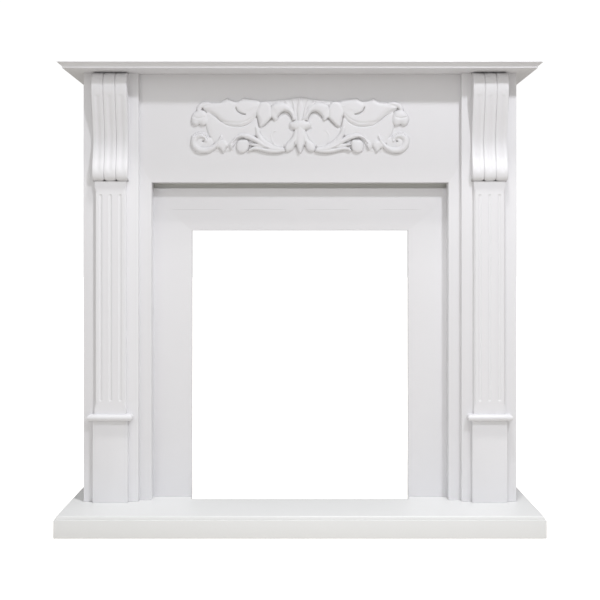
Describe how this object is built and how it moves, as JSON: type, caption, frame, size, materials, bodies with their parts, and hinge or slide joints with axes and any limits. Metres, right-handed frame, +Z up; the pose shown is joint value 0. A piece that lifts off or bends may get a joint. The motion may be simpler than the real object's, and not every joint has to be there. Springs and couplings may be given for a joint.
{
  "type": "fireplace mantelpiece",
  "caption": "Free-standing white painted fireplace surround with fluted pilasters, ribbed consoles, a carved acanthus frieze, a moulded shelf and a slab base, open for an electric fire.",
  "frame": {"origin": "on the floor, midway between the two ends, halfway from the base's front face to the wall plane", "axes": "+X along the shelf to the right as seen from the room, +Y from the room to the wall, +Z up; the front faces -Y"},
  "size_m": [1.216, 0.4, 1.174],
  "materials": {
    "body_paint": "satin white paint, very slightly cool",
    "base_paint": "satin white paint, very slightly warm",
    "carved_paint": "satin white paint on carved work, a little denser in the hollows",
    "raw_board": "bare board, unpainted, seen only in the slot above the surround panel"
  },
  "bodies": {
    "root": {"base": "base_paint", "frame_board": "body_paint", "surround_panel": "body_paint", "reveal_strip_head": "body_paint", "mantel_shelf": "body_paint", "reveal_strip_left": "body_paint", "reveal_strip_right": "body_paint", "leg_board_left": "body_paint", "leg_board_right": "body_paint", "side_panel_left": "body_paint", "side_panel_right": "body_paint", "plinth_block_left": "body_paint", "plinth_block_right": "body_paint", "astragal_left": "body_paint", "astragal_right": "body_paint", "pilaster_shaft_left": "body_paint", "pilaster_shaft_right": "body_paint", "carved_ornament": "carved_paint", "console_left": "carved_paint", "console_right": "carved_paint", "head_rail": "raw_board"}
  },
  "joints": []
}
